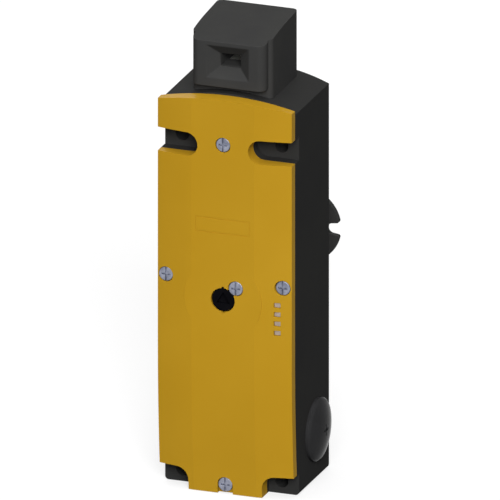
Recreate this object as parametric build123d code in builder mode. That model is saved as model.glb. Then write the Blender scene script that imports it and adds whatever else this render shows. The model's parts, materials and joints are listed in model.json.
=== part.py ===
from build123d import *
from math import cos, hypot, pi, radians, sin, sqrt
import os

os.makedirs("parts", exist_ok=True)

# Tongue interlock switch, in millimetres. The origin is the middle of the four mounting
# holes on the back face: +X to the right of the front, +Y out of the back, +Z up.
# Heights are measured up from the foot of the housing.

# Housing
width = 54.0
depth = 37.5
side_height = 154.8
arch_height = 160.0
wall = 3.0
corner_round = 1.5
bow_height = 58.0
bow_radius = 600.0

# Mounting holes and the pads that their screws sit on
hole_pitch_x = 40.0
hole_pitch_z = 135.0
hole_height = 5.0
hole_radius = 2.65
pad_sink = 4.3
slot_height = 9.5
slot_reach = 10.2
foot_pad_reach = 14.8
foot_pad_height = 8.8
foot_pad_round = 5.0

# Cover
seam = 0.2
crown = 6.1
crown_edge = 3.8
flat_half = 12.6
crown_radius = 88.0
cover_wall = 2.2
cover_side_height = 156.35
cover_arch_height = 159.4
gasket_width = 1.2
gasket_depth = 1.0
gasket_inset = 0.5
name_field_half = 11.0
name_field_low = 105.6
name_field_high = 111.7
name_line = 0.4

# Screws of the cover
screw_head_radius = 2.9
screw_head_length = 1.8
screw_radius = 1.5
screw_length = 12.0
screw_inset = 3.5
screw_side_rise = 7.1
screw_top_height = 141.3
screw_foot_height = 3.7
screw_sink = 0.3
screw_gap = 0.15
boss_radius = 4.0
recess_width = 0.7
recess_depth = 0.7
securing_x = 5.1
securing_rise = 5.1
securing_length = 5.0

# Release shaft, from the key rotor in the cover to the knob behind the back face
release_height = 78.9
key_hole_radius = 4.85
rotor_radius = 4.6
rotor_sink = 2.8
rotor_length = 6.0
disc_radius = 15.6
shaft_radius = 2.5
stem_radius = 4.0
knob_radius = 15.0
knob_thickness = 2.4
knob_back = 47.1
knob_notch_width = 4.4
knob_notch_mouth = 5.5
knob_notch_depth = 5.1
knob_tip_round = 0.8
knob_edge = 0.4
knob_notch_count = 4
knob_hub_wall = 2.5
knob_hub_length = 3.5
knob_web = 1.2
knob_screw_radius = 1.55
knob_screw_head = 3.0
knob_screw_length = 8.0
knob_screw_sink = 0.8
knob_head_thick = 0.7
slot_width = 0.7
bush_flange = 6.0
run_gap = 0.05
near = 0.3
fit_gap = 0.05

# Head
head_half = 16.1
head_front = 33.5
head_back = 4.0
head_top_back = 184.8
head_top_crease = 183.8
crease_y = 20.5
head_top_front = 180.7
nose_half = 14.8
nose_front = 38.25
nose_bottom = 162.4
nose_round = 3.2
mouth_half = 8.6
mouth_bottom = 165.9
mouth_top = 179.1
tongue_half = 4.0
tongue_bottom = 170.0
tongue_top = 175.0
tongue_wall = 1.2
spigot_radius = 11.0
spigot_bottom = 152.0

# Cam wheel and plunger
plunger_y = 18.75
wheel_height = 165.5
wheel_radius = 8.5
wheel_half = 3.7
wheel_turn = 50.0
plunger_travel = 3.6
axle_radius = 1.5
tip_radius = 1.5
plunger_radius = 2.5
collar_radius = 3.9
collar_thickness = 1.4
guide_radius = 6.0
guide_bottom = 134.0
guide_top = 146.0
plunger_tail = 5.8

# Lock: the plate that the release shaft lifts, and the pawl that drops into the plunger's
# groove. At rest the tongue is out and the plate is held up, so the pawl stands clear.
release_turn = 90.0
lock_travel = 2.5
plate_thickness = 1.6
plate_half = 9.0
pawl_rise = 10.1
pawl_arm = 10.0
pawl_reach = 12.0
pawl_half = 2.0
pawl_hub = 2.6
pin_radius = 1.25
tooth_thickness = 1.3
groove_depth = 1.1

# Solenoid
yoke_half = 12.5
yoke_depth_half = 8.0
yoke_clear = 8.4
yoke_height = 27.5
yoke_sheet = 2.0
coil_radius = 9.0
bobbin_wall = 0.8
armature_radius = 4.0
rod_radius = 1.4
pole_length = 13.5
spring_depth = 8.0

# Contact block
block_half = 17.0
block_front = 30.0
block_clear = 3.5
block_drop = 2.25
contact_first = 4.5
contact_last = 8.0
contact_count = 3
bridge_half = 9.0
contact_sheet = 0.8
carrier_width = 9.0
carrier_depth = 8.0
carrier_end = 2.0
bridge_offset = 3.4
bridge_depth = 1.5
bridge_pad = 2.4
bridge_pad_depth = 3.4
strip_offset = 2.4
strip_depth = 3.6
strip_length = 13.8
strip_lap = 1.8
strip_tail = 2.0
contact_screw_radius = 0.8
contact_head_radius = 1.6
contact_head_length = 1.2
small_slot = 0.5

# Cable entries
entry_y = 14.3
entry_height = 20.4
entry_radius = 9.2
entry_length = 8.0
entry_boss = 12.5
plug_radius = 12.4
plug_rim = 2.0
plug_dome = 4.2
plug_edge = 0.8
plug_neck = 7.0
plug_cross_length = 4.6
plug_cross_width = 1.0
plug_cross_depth = 1.0
seal_depth = 1.0
seal_slack = 0.02

# Indicators
window_inset = 5.5
window_rise = 0.1
window_pitch = 3.73
window_width = 2.6
window_tall = 2.0
board_width = 6.6
board_height = 16.6
board_gap = 0.2
board_thickness = 1.2
board_sink = 2.2
ledge_reach = 5.0
ledge_thickness = 2.0
bar_thickness = 1.2
bar_gap = 0.1
lamp_side = 1.6

# Terminals
terminal_clear = 3.0
terminal_height = 7.0
terminal_front = 15.0
terminal_half = 17.0
terminal_count = 8
terminal_sink = 3.0
terminal_hole = 1.6
terminal_slot = 4.0
wire_hole = 2.6
wire_hole_inset = 3.6
wire_hole_depth = 2.0

# Heights and places that follow from these sizes
screw_side_height = release_height + screw_side_rise
securing_height = release_height + securing_rise
window_height = release_height + window_rise
window_x = width / 2 - window_inset
strip_height = window_height - 1.5 * window_pitch
pawl_height = release_height + pawl_rise
tooth_height = pawl_height + pawl_reach
plunger_bottom = tooth_height - plunger_tail
collar_height = wheel_height - wheel_radius - near - plunger_travel - collar_thickness
yoke_top = release_height - yoke_clear
yoke_bottom = yoke_top - yoke_height
pole_bottom = yoke_top - pole_length
terminal_top = yoke_bottom - terminal_clear
terminal_bottom = terminal_top - terminal_height
terminal_pitch = 2 * terminal_half / terminal_count
chamber_top = hole_height + hole_pitch_z - slot_height / 2 - wall
block_bottom = tooth_height + block_clear
block_top = chamber_top - block_drop
contact_pitch = (block_top - block_bottom - contact_first - contact_last) / (contact_count - 1)
contact_heights = [block_bottom + contact_first + contact_pitch * n for n in range(contact_count)]
front_reach = crown + 2.0
foot = -(hole_height + hole_pitch_z / 2)
stand = (Align.CENTER, Align.CENTER, Align.MIN)
centre = Plane.XZ.offset(plunger_y)


def up(height):
    """Z of a height above the foot."""
    return foot + height


def bow(height):
    """How far the bowed front lies behind its upper part at a height."""
    drop = max(bow_height - height, 0)
    return bow_radius - sqrt(bow_radius**2 - drop**2)


def crown_at(x):
    """How far the cover's face stands before the split at a distance from the middle."""
    run = width / 2 - flat_half
    fall = crown - crown_edge
    chord = hypot(run, fall)
    lift = sqrt(crown_radius**2 - (chord / 2) ** 2)
    middle_x = flat_half + run / 2 - lift * fall / chord
    middle_y = crown - fall / 2 - lift * run / chord
    if abs(x) <= flat_half:
        return crown
    return middle_y + sqrt(crown_radius**2 - (abs(x) - middle_x) ** 2)


def save(piece, name):
    """Labels a finished piece and writes it."""
    piece.label = name
    export_step(piece, "parts/" + name + ".step")


# Outlines on the front plane, in X and height
with BuildSketch() as housing_outline:
    with BuildLine():
        Line((-width / 2, up(0)), (width / 2, up(0)))
        Line((width / 2, up(0)), (width / 2, up(side_height)))
        ThreePointArc(
            (width / 2, up(side_height)), (0, up(arch_height)), (-width / 2, up(side_height))
        )
        Line((-width / 2, up(side_height)), (-width / 2, up(0)))
    make_face()
    fillet(housing_outline.vertices().group_by(Axis.Y)[0], corner_round)

with BuildSketch() as cover_outline:
    with BuildLine():
        Line((-width / 2, up(0)), (width / 2, up(0)))
        Line((width / 2, up(0)), (width / 2, up(cover_side_height)))
        ThreePointArc(
            (width / 2, up(cover_side_height)),
            (0, up(cover_arch_height)),
            (-width / 2, up(cover_side_height)),
        )
        Line((-width / 2, up(cover_side_height)), (-width / 2, up(0)))
    make_face()

with BuildSketch() as foot_pad:
    with Locations((foot_pad_reach + width / 4, up(foot_pad_height) - width / 4)):
        Rectangle(width / 2, width / 2)
    fillet(foot_pad.vertices().group_by(Axis.Y)[-1].sort_by(Axis.X)[0], foot_pad_round)

slot_centre = up(hole_height + hole_pitch_z)
with BuildSketch() as pad_outline:
    for side in (-1, 1):
        with Locations((side * (slot_reach + slot_height / 2), slot_centre)):
            Circle(slot_height / 2)
        with Locations((side * (slot_reach + slot_height / 2 + width / 4), slot_centre)):
            Rectangle(width / 2, slot_height)
    add(foot_pad.sketch)
    add(mirror(foot_pad.sketch, about=Plane.YZ))

chamber_foot_x = foot_pad_reach - wall + width / 4
chamber_foot_z = up(foot_pad_height + wall) - width / 4
with BuildSketch() as chamber_outline:
    with Locations((0, (up(wall) + up(chamber_top)) / 2)):
        Rectangle(width - 2 * wall, chamber_top - wall)
    for side in (-1, 1):
        with Locations((side * chamber_foot_x, chamber_foot_z)):
            Rectangle(width / 2, width / 2, mode=Mode.SUBTRACT)
        with Locations((side * (width / 2 - screw_inset), up(screw_side_height))):
            Circle(boss_radius, mode=Mode.SUBTRACT)
        with Locations((side * (width - screw_inset) / 2, up(screw_side_height))):
            Rectangle(screw_inset, 2 * boss_radius, mode=Mode.SUBTRACT)
    with Locations((0, up(screw_foot_height))):
        Circle(boss_radius, mode=Mode.SUBTRACT)
    with Locations((0, up(screw_foot_height / 2))):
        Rectangle(2 * boss_radius, screw_foot_height, mode=Mode.SUBTRACT)

# The bowed front: straight down, then curving back towards the foot
with BuildLine(Plane.YZ) as front_path:
    upper = Line((-depth, up(arch_height + wall)), (-depth, up(bow_height)))
    JernArc(start=upper @ 1, tangent=upper % 1, radius=bow_radius, arc_size=7)


def swept_band(half, back, front):
    """A flat band between two depths before the split, swept down the bowed front."""
    with BuildPart() as band:
        with BuildSketch(Plane.XY.offset(up(arch_height + wall))):
            with Locations((0, -depth - (back + front) / 2)):
                Rectangle(2 * half, front - back)
        sweep(path=front_path.wires()[0])
    return band.part


def swept_crown(half, back, sink):
    """The cover's crowned section, from its back plane to its face less a wall, swept."""
    edge = crown_at(half) - sink
    middle = (half + flat_half) / 2
    with BuildPart() as shell:
        with BuildSketch(Plane.XY.offset(up(arch_height + wall))):
            with BuildLine():
                Line((-half, -depth - back), (half, -depth - back))
                for side in (1, -1):
                    Line((side * half, -depth - back), (side * half, -depth - edge))
                    ThreePointArc(
                        (side * half, -depth - edge),
                        (side * middle, -depth - crown_at(middle) + sink),
                        (side * flat_half, -depth - crown + sink),
                    )
                Line((-flat_half, -depth - crown + sink), (flat_half, -depth - crown + sink))
            make_face()
        sweep(path=front_path.wires()[0])
    return shell.part


front_space = swept_band(width, 0, 4 * crown)
gasket_band = swept_band(width, -gasket_depth, seam)
cover_shell = swept_crown(width / 2, seam, 0)
cover_core = swept_crown(width / 2 - wall, seam - 1, cover_wall)

with BuildSketch() as gasket_hole:
    add(chamber_outline.sketch)
    offset(amount=gasket_inset, kind=Kind.INTERSECTION)

with BuildSketch() as gasket_outline:
    add(chamber_outline.sketch)
    offset(amount=gasket_inset + gasket_width, kind=Kind.INTERSECTION)
    add(gasket_hole.sketch, mode=Mode.SUBTRACT)

side_screw_x = width / 2 - screw_inset
cover_screw_places = (
    (0, screw_top_height),
    (0, screw_foot_height),
    (-side_screw_x, screw_side_height),
    (side_screw_x, screw_side_height),
)


def seat_depth(x, height):
    """Distance before the back face of the seat under a screw head."""
    return depth + crown_at(x) - bow(height) - screw_sink - screw_head_length


# Cable entry bosses and the solenoid's pedestal are part of the housing
pedestal_front = plunger_y - yoke_depth_half
entry_z = up(entry_height)
ledge_front = depth - board_sink

with BuildPart() as gasket:
    with BuildSketch(Plane.XZ.offset(depth - front_reach)):
        add(gasket_outline.sketch)
    extrude(amount=2 * front_reach)
    add(gasket_band, mode=Mode.INTERSECT)
save(gasket.part, "cover_gasket")

with BuildPart() as housing:
    with BuildSketch(Plane.XZ):
        add(housing_outline.sketch)
    extrude(amount=depth)
    add(front_space, mode=Mode.SUBTRACT)
    with BuildSketch(Plane.XZ.offset(wall)):
        add(chamber_outline.sketch)
    extrude(amount=depth, mode=Mode.SUBTRACT)
    # Entry bosses: one on each side and one in the foot
    for side in (-1, 1):
        inner = side * (width / 2 - entry_length)
        with BuildSketch(Plane.YZ.offset(inner)):
            with Locations((-entry_y, entry_z)):
                Circle(entry_boss)
        extrude(amount=side * (entry_length - wall / 2))
    with BuildSketch(Plane.XY.offset(up(wall / 2))):
        with Locations((0, -entry_y)):
            Circle(entry_boss)
    extrude(amount=entry_length - wall / 2)
    # Pedestal behind the solenoid and ledge for the indicator board
    with BuildSketch(Plane.XZ.offset(wall / 2)):
        for side in (-1, 1):
            with Locations((side * (yoke_half - 1.1), up((yoke_bottom + yoke_top) / 2))):
                Rectangle(2.2, yoke_top - yoke_bottom - 4)
    extrude(amount=pedestal_front - wall / 2)
    with BuildSketch(Plane.XZ.offset(ledge_front - ledge_thickness)):
        with Locations((width / 2 - wall - (ledge_reach - 1) / 2, up(strip_height))):
            Rectangle(ledge_reach + 1, board_height)
    extrude(amount=ledge_thickness)
    with BuildSketch(Plane.YZ.offset(-width)):
        with Locations((-entry_y, entry_z)):
            Circle(entry_radius)
    extrude(amount=2 * width, mode=Mode.SUBTRACT)
    with BuildSketch(Plane.XY.offset(up(-1))):
        with Locations((0, -entry_y)):
            Circle(entry_radius)
    extrude(amount=entry_length + 2, mode=Mode.SUBTRACT)
    # Pads, mounting holes and cover screw holes
    with BuildSketch(Plane.XZ.offset(depth - pad_sink)):
        add(pad_outline.sketch)
    extrude(amount=2 * pad_sink, mode=Mode.SUBTRACT)
    with BuildSketch(Plane.XZ.offset(-1)):
        with GridLocations(hole_pitch_x, hole_pitch_z, 2, 2):
            Circle(hole_radius)
    extrude(amount=depth + 2, mode=Mode.SUBTRACT)
    for x, height in cover_screw_places:
        with BuildSketch(Plane.XZ.offset(seat_depth(x, height) - screw_length - near)):
            with Locations((x, up(height))):
                Circle(screw_radius)
        extrude(amount=screw_length + crown, mode=Mode.SUBTRACT)
    add(gasket.part, mode=Mode.SUBTRACT)
    # Bores for the plunger guide and the head's spigot
    with BuildSketch(Plane.XY.offset(up(chamber_top - 1))):
        with Locations((0, -plunger_y)):
            Circle(guide_radius + fit_gap)
    extrude(amount=spigot_bottom - chamber_top + 2, mode=Mode.SUBTRACT)
    with BuildSketch(Plane.XY.offset(up(spigot_bottom - near))):
        with Locations((0, -plunger_y)):
            Circle(spigot_radius + fit_gap)
    extrude(amount=2 * spigot_radius, mode=Mode.SUBTRACT)
    # Slot behind the spigot for the locking fork
    with BuildSketch(Plane.XY.offset(up(spigot_bottom + 1.4))):
        with Locations((0, -plunger_y / 2)):
            Rectangle(2 * spigot_radius + 2.4, plunger_y)
        with Locations((0, -plunger_y - spigot_radius / 4)):
            Rectangle(2 * spigot_radius + 2.4, spigot_radius / 2)
    extrude(amount=2.4, mode=Mode.SUBTRACT)
    # Passage of the release shaft's bush
    with BuildSketch(Plane.XZ.offset(-1)):
        with Locations((0, up(release_height))):
            Circle(stem_radius + 1 + fit_gap)
    extrude(amount=wall + 2, mode=Mode.SUBTRACT)
save(housing.part, "housing")

with BuildPart() as hollow:
    add(cover_core)
    with BuildSketch(Plane.XZ.offset(depth - front_reach)):
        add(chamber_outline.sketch)
    extrude(amount=2 * front_reach, mode=Mode.INTERSECT)

with BuildPart() as cover:
    add(cover_shell)
    with BuildSketch(Plane.XZ.offset(depth)):
        with Locations((0, up(release_height))):
            Circle(disc_radius)
    extrude(amount=crown)
    with BuildSketch(Plane.XZ.offset(depth - front_reach)):
        add(cover_outline.sketch)
        add(pad_outline.sketch, mode=Mode.SUBTRACT)
    extrude(amount=2 * front_reach, mode=Mode.INTERSECT)
    add(hollow.part, mode=Mode.SUBTRACT)
    # Collar around the key rotor and boss of the securing screw
    with BuildSketch(Plane.XZ.offset(depth + seam)):
        with Locations((0, up(release_height))):
            Circle(rotor_radius + 2.2)
        with Locations((securing_x, up(securing_height))):
            Circle(screw_radius + 2)
    extrude(amount=crown - seam - cover_wall / 2)
    with BuildSketch(Plane.XZ.offset(depth)):
        with Locations((0, up(release_height))):
            Circle(key_hole_radius)
        with Locations(
            (0, up(release_height) + key_hole_radius), (0, up(release_height) - key_hole_radius)
        ):
            Circle(0.6)
    extrude(amount=crown + 1, mode=Mode.SUBTRACT)
    for x, height in cover_screw_places + ((securing_x, securing_height),):
        with BuildSketch(Plane.XZ.offset(seat_depth(x, height))):
            with Locations((x, up(height))):
                Circle(screw_head_radius + screw_gap)
            if height < boss_radius:
                with Locations((x, up(height / 2) - 1)):
                    Rectangle(2 * (screw_head_radius + screw_gap), height + 2)
        extrude(amount=crown, mode=Mode.SUBTRACT)
        with BuildSketch(Plane.XZ.offset(depth - 4)):
            with Locations((x, up(height))):
                Circle(screw_radius + fit_gap)
        extrude(amount=crown + 4, mode=Mode.SUBTRACT)
    with BuildSketch(Plane.XZ.offset(depth)):
        for n in range(4):
            with Locations((window_x, up(window_height - n * window_pitch))):
                Rectangle(window_width, window_tall)
    extrude(amount=crown, mode=Mode.SUBTRACT)
    # Shallow line around the blank name field
    with BuildSketch(Plane.XZ.offset(depth + crown - 0.2)):
        with Locations((0, up((name_field_low + name_field_high) / 2))):
            Rectangle(2 * name_field_half, name_field_high - name_field_low)
            Rectangle(
                2 * (name_field_half - name_line),
                name_field_high - name_field_low - 2 * name_line,
                mode=Mode.SUBTRACT,
            )
    extrude(amount=1, mode=Mode.SUBTRACT)
save(cover.part, "cover")


def screw(x, height, length):
    """A cheese-head screw with a combined slot and cross, set into the cover at a place."""
    seat = seat_depth(x, height)
    with BuildPart() as one:
        with BuildSketch(Plane.XZ.offset(seat)):
            with Locations((x, up(height))):
                Circle(screw_head_radius)
        extrude(amount=screw_head_length)
        fillet(one.edges().filter_by(GeomType.CIRCLE).sort_by(Axis.Y)[0], 0.4)
        with BuildSketch(Plane.XZ.offset(seat - length)):
            with Locations((x, up(height))):
                Circle(screw_radius)
        extrude(amount=length + 0.1)
        with BuildSketch(Plane.XZ.offset(seat + screw_head_length - recess_depth)):
            with Locations((x, up(height))):
                Rectangle(recess_width, 2 * screw_head_radius)
                Rectangle(screw_head_radius * 1.2, recess_width)
        extrude(amount=2, mode=Mode.SUBTRACT)
    return one.part


with BuildPart() as cover_screws:
    for x, height in cover_screw_places:
        add(screw(x, height, screw_length))
save(cover_screws.part, "cover_screws")

with BuildPart() as securing_screw:
    add(screw(securing_x, securing_height, securing_length))
save(securing_screw.part, "release_securing_screw")

# Indicators: a light guide with four windows, the board behind it and its lamps
guide_front = depth + crown_at(window_x + window_width / 2 + 0.6) - cover_wall
bar_back = guide_front - bar_thickness - bar_gap
strip_middle = up(strip_height)
with BuildPart() as light_guide:
    with BuildSketch(Plane.XZ.offset(bar_back)):
        with Locations((window_x, strip_middle)):
            Rectangle(window_width + 1, 3 * window_pitch + window_tall + 1)
    extrude(amount=bar_thickness)
    with BuildSketch(Plane.XZ.offset(guide_front - bar_thickness)):
        for n in range(4):
            with Locations((window_x, up(window_height - n * window_pitch))):
                Rectangle(window_width - 0.1, window_tall - 0.1)
    extrude(amount=bar_thickness + cover_wall)
save(light_guide.part, "indicator_windows")

with BuildPart() as board:
    with BuildSketch(Plane.XZ.offset(ledge_front)):
        with Locations((width / 2 - wall - board_gap - board_width / 2, strip_middle)):
            Rectangle(board_width, board_height)
    extrude(amount=board_thickness)
save(board.part, "indicator_board")

with BuildPart() as lamps:
    with BuildSketch(Plane.XZ.offset(ledge_front + board_thickness)):
        for n in range(4):
            with Locations((window_x, up(window_height - n * window_pitch))):
                Rectangle(lamp_side, lamp_side)
    extrude(amount=bar_back - near - ledge_front - board_thickness)
save(lamps.part, "indicator_lamps")

# Head: body with a spigot, and the nose that carries the tongue's mouth
with BuildSketch(Plane.YZ) as head_profile:
    with BuildLine():
        Line((-head_back, up(spigot_bottom)), (-head_back, up(head_top_back)))
        Line((-head_back, up(head_top_back)), (-crease_y, up(head_top_crease)))
        ThreePointArc(
            (-crease_y, up(head_top_crease)),
            (-(crease_y + nose_front) / 2, up((head_top_crease + head_top_front) / 2 + 0.45)),
            (-nose_front, up(head_top_front)),
        )
        Line((-nose_front, up(head_top_front)), (-nose_front, up(spigot_bottom)))
        Line((-nose_front, up(spigot_bottom)), (-head_back, up(spigot_bottom)))
    make_face()

mouth_middle = up((mouth_bottom + mouth_top) / 2)
tongue_middle = up((tongue_bottom + tongue_top) / 2)
with BuildPart() as head:
    with BuildSketch(Plane.YZ.offset(-head_half)):
        add(head_profile.sketch_local)
    extrude(amount=2 * head_half)
    split(bisect_by=Plane.XZ.offset(head_front), keep=Keep.BOTTOM)
    fillet(head.edges().filter_by(Axis.Z), 2.2)
    with BuildSketch(Plane.XZ):
        add(housing_outline.sketch)
        offset(amount=0.1)
    extrude(amount=depth + 5, mode=Mode.SUBTRACT)
    with BuildSketch(Plane.XY.offset(up(spigot_bottom))):
        with Locations((0, -plunger_y)):
            Circle(spigot_radius)
    extrude(amount=arch_height - spigot_bottom + 2)
    # Groove of the locking fork and groove of the seal
    for low, high, radius in ((1.3, 3.9, 1.2), (5.2, 6.6, 1.0)):
        with BuildSketch(Plane.XY.offset(up(spigot_bottom + low))):
            with Locations((0, -plunger_y)):
                Circle(spigot_radius + 1)
                Circle(spigot_radius - radius, mode=Mode.SUBTRACT)
        extrude(amount=high - low, mode=Mode.SUBTRACT)
    # Wheel chamber, tongue channel and the plunger's bore
    with BuildSketch(Plane.YZ.offset(-wheel_half - near)):
        with Locations((-plunger_y, up(wheel_height))):
            Circle(wheel_radius + 0.4)
        with Locations((-(head_front + plunger_y - wheel_radius) / 2, tongue_middle)):
            Rectangle(head_front - plunger_y + wheel_radius, tongue_top - tongue_bottom)
    extrude(amount=2 * (wheel_half + near), mode=Mode.SUBTRACT)
    with BuildSketch(Plane.XY.offset(up(spigot_bottom - 1))):
        with Locations((0, -plunger_y)):
            Circle(collar_radius + near)
    extrude(amount=wheel_height - spigot_bottom, mode=Mode.SUBTRACT)
    with BuildSketch(Plane.YZ.offset(-wheel_half - 3.5)):
        with Locations((-plunger_y, up(wheel_height))):
            Circle(axle_radius + fit_gap)
    extrude(amount=2 * wheel_half + 7, mode=Mode.SUBTRACT)
save(head.part, "head_body")

with BuildPart() as nose:
    with BuildSketch(Plane.YZ.offset(-nose_half)):
        add(head_profile.sketch_local)
    extrude(amount=2 * nose_half)
    split(bisect_by=Plane.XZ.offset(head_front + 0.02), keep=Keep.TOP)
    split(bisect_by=Plane.XY.offset(up(nose_bottom)), keep=Keep.TOP)
    fillet(nose.edges().filter_by(Axis.Z).group_by(Axis.Y)[0], nose_round)
    with BuildSketch(Plane.XZ.offset(nose_front + 0.01)) as mouth_outer:
        with Locations((0, mouth_middle)):
            Rectangle(2 * mouth_half, mouth_top - mouth_bottom)
    with BuildSketch(Plane.XZ.offset(head_front + tongue_wall)) as mouth_inner:
        with Locations((0, tongue_middle)):
            Rectangle(2 * tongue_half, tongue_top - tongue_bottom)
    loft(sections=[mouth_inner.sketch, mouth_outer.sketch], mode=Mode.SUBTRACT)
    with BuildSketch(Plane.XZ.offset(head_front - 1)):
        with Locations((0, tongue_middle)):
            Rectangle(2 * tongue_half, tongue_top - tongue_bottom)
    extrude(amount=4, mode=Mode.SUBTRACT)
save(nose.part, "head_nose")

with BuildPart() as head_seal:
    with BuildSketch(Plane.XY.offset(up(spigot_bottom + 5.25))):
        with Locations((0, -plunger_y)):
            Circle(spigot_radius)
            Circle(spigot_radius - 0.95, mode=Mode.SUBTRACT)
    extrude(amount=1.3)
save(head_seal.part, "head_seal")

with BuildPart() as fork:
    with BuildSketch(Plane.XY.offset(up(spigot_bottom + 1.5))):
        with Locations((0, -plunger_y / 2 - 0.2)):
            Rectangle(2 * spigot_radius + 2, plunger_y)
        with Locations((0, -plunger_y)):
            Circle(spigot_radius - 1.1, mode=Mode.SUBTRACT)
            Rectangle(2 * spigot_radius - 2.2, 4, mode=Mode.SUBTRACT)
    extrude(amount=2.2)
save(fork.part, "head_locking_fork")

with BuildPart() as axle:
    with BuildSketch(Plane.YZ.offset(-wheel_half - 3.3)):
        with Locations((-plunger_y, up(wheel_height))):
            Circle(axle_radius)
    extrude(amount=2 * wheel_half + 6.6)
save(axle.part, "cam_axle")

# Cam wheel: the plunger's tip rides on a spiral whose fall is even over the turn
turn = radians(wheel_turn)
fall_rate = plunger_travel / turn
pitch_radius = wheel_radius + tip_radius + near
reach = tip_radius + near


def pitch_point(angle):
    """Centre of the plunger's tip in the wheel, at an angle back from straight down."""
    radius = pitch_radius - fall_rate * angle
    return (radius * sin(angle), -radius * cos(angle))


def cam_point(angle):
    """Point of the cam under the tip, one tip radius and a gap inside its centre's path."""
    radius = pitch_radius - fall_rate * angle
    size = hypot(radius, fall_rate)
    y, z = pitch_point(angle)
    normal_y = (radius * sin(angle) + fall_rate * cos(angle)) / size
    normal_z = (-radius * cos(angle) + fall_rate * sin(angle)) / size
    return (y - reach * normal_y, z - reach * normal_z)


def wheel_spot(point):
    """A point of the wheel in the row's Y and Z."""
    return (point[0] - plunger_y, point[1] + up(wheel_height))


steps = 10
cam_points = [wheel_spot(cam_point(turn * n / steps)) for n in range(steps + 1)]
last_y, last_z = pitch_point(turn)
last_radius = hypot(last_y, last_z)
outer = 2 * wheel_radius
with BuildPart() as wheel:
    with BuildSketch(Plane.YZ.offset(-wheel_half)):
        with Locations((-plunger_y, up(wheel_height))):
            Circle(wheel_radius)
        # Fall of the cam, ending in a round pocket for the tip
        with BuildLine():
            Spline(*cam_points)
            Polyline(
                cam_points[-1],
                wheel_spot((last_y, last_z)),
                wheel_spot((last_y * outer / last_radius, last_z * outer / last_radius)),
                wheel_spot((0, -outer)),
                wheel_spot((-reach, -outer)),
                cam_points[0],
            )
        make_face(mode=Mode.SUBTRACT)
        with Locations(wheel_spot((last_y, last_z))):
            Circle(reach, mode=Mode.SUBTRACT)
        with Locations(
            Location(
                (*wheel_spot((last_y * 1.5, last_z * 1.5)), 0), (0, 0, wheel_turn - 90)
            )
        ):
            Rectangle(last_radius, 2 * reach, mode=Mode.SUBTRACT)
        # Notch that the tongue pushes
        with Locations(wheel_spot((-wheel_radius + 2.4, wheel_radius + 0.2))):
            Rectangle(wheel_radius - 1.2, 2 * (wheel_radius - 4.1), mode=Mode.SUBTRACT)
        with Locations((-plunger_y, up(wheel_height))):
            Circle(axle_radius + run_gap, mode=Mode.SUBTRACT)
    extrude(amount=2 * wheel_half)
save(wheel.part, "cam_wheel")

# Plunger: tip, collar, rod and the two grooves of the lock
tip_centre = wheel_height - pitch_radius
groove_half = tooth_thickness / 2 + 0.45
with BuildPart() as plunger:
    with Locations((0, -plunger_y, up(plunger_bottom))):
        Cylinder(plunger_radius, collar_height - plunger_bottom + 0.5, align=stand)
    with Locations((0, -plunger_y, up(collar_height))):
        Cylinder(collar_radius, collar_thickness, align=stand)
    with BuildSketch(Plane.YZ.offset(-collar_radius + 1.2)):
        with Locations((-plunger_y, up(tip_centre))):
            Circle(tip_radius)
        with Locations((-plunger_y, up((tip_centre + collar_height + 1) / 2))):
            Rectangle(2 * tip_radius, tip_centre - collar_height - 1)
    extrude(amount=2 * collar_radius - 2.4)
    chamfer(plunger.faces().sort_by(Axis.Z)[0].edges(), 0.4)
    for drop in (0, plunger_travel):
        with BuildSketch(Plane.XY.offset(up(tooth_height - drop - groove_half))):
            with Locations((0, -plunger_y)):
                Circle(plunger_radius + 1)
                Circle(plunger_radius - groove_depth, mode=Mode.SUBTRACT)
        extrude(amount=2 * groove_half, mode=Mode.SUBTRACT)
save(plunger.part, "plunger")

with BuildPart() as guide:
    with BuildSketch(Plane.XY.offset(up(guide_bottom))):
        with Locations((0, -plunger_y)):
            Circle(guide_radius)
            Circle(plunger_radius + run_gap, mode=Mode.SUBTRACT)
    extrude(amount=guide_top - guide_bottom)
save(guide.part, "plunger_guide")


def coil_spring(low, high, radius, wire, turns):
    """A compression spring of round wire standing between two heights."""
    pitch = (high - low - wire) / turns
    with BuildPart() as spring:
        with BuildLine():
            path = Helix(
                pitch=pitch, height=high - low - wire, radius=radius,
                center=(0, -plunger_y, up(low) + wire / 2),
            )
        with BuildSketch(Plane(origin=path @ 0, z_dir=path % 0)):
            RegularPolygon(wire / 2, 6)
        sweep(path=path, is_frenet=True)
    return spring.part


with BuildPart() as plunger_spring:
    add(coil_spring(guide_top, collar_height, 3.2, 0.6, 4))
save(plunger_spring.part, "plunger_spring")

# Contact carrier and its bridges, which move with the plunger
carrier_bottom = contact_heights[0] - carrier_end
carrier_top = contact_heights[-1] + carrier_end
with BuildPart() as carrier:
    with BuildSketch(Plane.XY.offset(up(carrier_bottom))):
        with Locations((0, -plunger_y)):
            Rectangle(carrier_width, carrier_depth)
            Circle(plunger_radius + 0.01, mode=Mode.SUBTRACT)
    extrude(amount=carrier_top - carrier_bottom)
    fillet(carrier.edges().filter_by(Axis.Z).group_by(Axis.X)[0], 1)
    fillet(carrier.edges().filter_by(Axis.Z).group_by(Axis.X)[-1], 1)
    for height in contact_heights:
        with BuildSketch(Plane.XY.offset(up(height))):
            with Locations((0, -plunger_y - bridge_offset)):
                Rectangle(2 * carrier_width, bridge_depth)
        extrude(amount=contact_sheet, mode=Mode.SUBTRACT)
save(carrier.part, "contact_carrier")

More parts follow.
